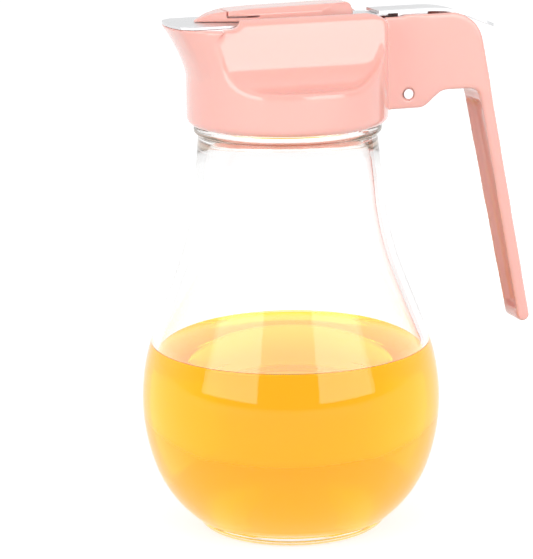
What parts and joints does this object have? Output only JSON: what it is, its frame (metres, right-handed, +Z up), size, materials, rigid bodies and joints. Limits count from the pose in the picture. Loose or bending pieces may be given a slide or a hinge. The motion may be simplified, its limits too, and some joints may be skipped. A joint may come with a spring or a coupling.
{
  "type": "honey dispenser",
  "caption": "Pear-shaped glass dispenser with a screw lid, a pouring lip closed by a sliding gate, and a drop handle with a thumb lever that draws the gate back.",
  "frame": {"origin": "centre of the jar's foot, on the surface it stands on", "axes": "+Z up along the jar's axis, +X towards the handle, the pouring lip at -X"},
  "size_m": [0.123, 0.091, 0.1603],
  "materials": {
    "glass": "clear polished",
    "pink_plastic": "moulded gloss",
    "seal_rubber": "smooth",
    "sheet_steel": "fine brushed",
    "pin_steel": "polished",
    "spring_steel": "drawn wire"
  },
  "bodies": {
    "jar": {"glass_jar": "glass"},
    "seal": {"lid_gasket": "seal_rubber"},
    "lid": {"lid_shell": "pink_plastic", "gate_guide": "pink_plastic", "pivot_pin": "pin_steel", "return_spring": "spring_steel"},
    "gate": {"sliding_gate": "sheet_steel"},
    "lever": {"thumb_lever": "sheet_steel"}
  },
  "joints": [
    {"name": "lid_lift", "type": "slide", "parent": "jar", "child": "seal", "axis": [0, 0, 1], "range_m": [0, 0.00525]},
    {"name": "lid_unscrew", "type": "hinge", "parent": "seal", "child": "lid", "pos_m": [0, 0, 0.13], "axis": [0, 0, 1], "range_deg": [0, 450]},
    {"name": "lever_press", "type": "hinge", "parent": "lid", "child": "lever", "pos_m": [0.0361, 0, 0.132], "axis": [0, 1, 0], "range_deg": [0, 18], "stiffness_Nm_per_rad": 0.3, "springref_deg": -11.46},
    {"name": "gate_slide", "type": "slide", "parent": "lid", "child": "gate", "axis": [1, 0, 0], "range_m": [0, 0.0074]}
  ],
  "couplings": [
    {"joint": "lid_unscrew", "follows": "lid_lift", "rad_per_m": 1496},
    {"joint": "lever_press", "follows": "gate_slide", "rad_per_m": 42.43}
  ]
}
